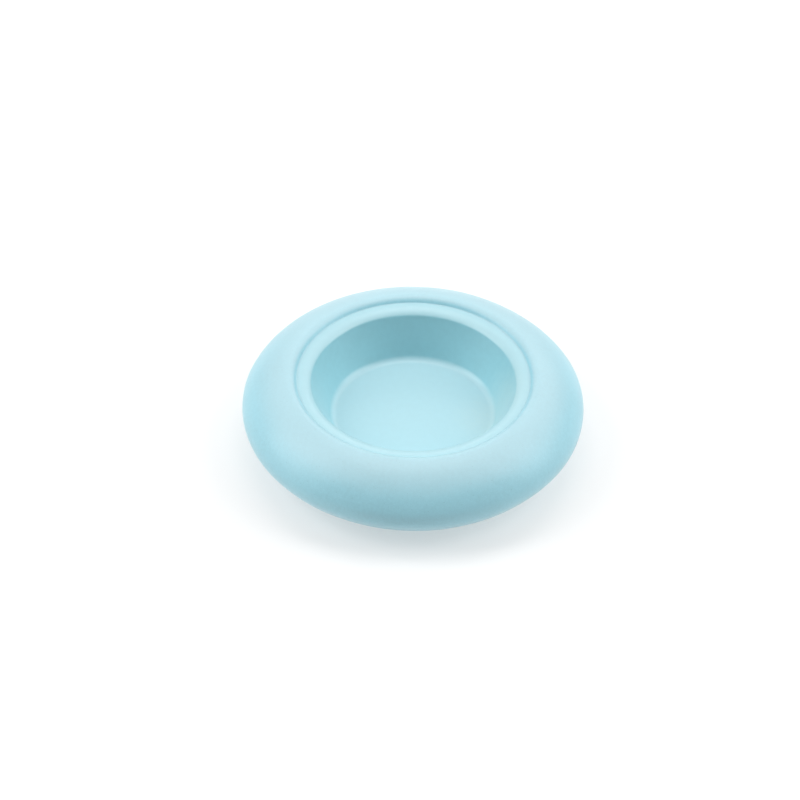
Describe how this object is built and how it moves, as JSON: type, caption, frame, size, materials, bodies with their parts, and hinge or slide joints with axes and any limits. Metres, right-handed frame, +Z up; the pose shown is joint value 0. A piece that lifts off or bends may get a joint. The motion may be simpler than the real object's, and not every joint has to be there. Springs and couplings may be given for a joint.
{
  "type": "air stone",
  "caption": "Round ring-shaped air diffuser with a shallow dish in its middle, a base pan below and an airline spigot behind.",
  "frame": {"origin": "on the ground at the centre of the foot ring, on the ring's own axis", "axes": "+Z up along the ring's axis, +Y from the centre to the airline spigot at the back, +X to the right seen from the front"},
  "size_m": [0.1, 0.1066, 0.0249],
  "materials": {
    "porous_ceramic": "fine-pored unglazed body, pale aqua, satin where the pores are closed by wear",
    "dish_plastic": "smooth satin moulding in the same pale aqua",
    "base_plastic": "fine-textured moulding in the same pale aqua",
    "spigot_plastic": "turned and moulded fitting, off-white aqua",
    "silicone": "translucent white silicone",
    "foot_rubber": "grey silicone rubber with a fine grip texture",
    "stainless": "plain stainless steel"
  },
  "bodies": {
    "root": {"stone_ring": "porous_ceramic", "dish": "dish_plastic", "dish_gasket": "silicone", "base": "base_plastic", "base_gasket": "silicone", "ballast_disc": "stainless", "inlet_spigot": "spigot_plastic", "spigot_seal": "silicone", "lock_nut": "stainless", "base_screws": "stainless", "screw_seals": "silicone", "foot_ring": "foot_rubber"}
  },
  "joints": []
}
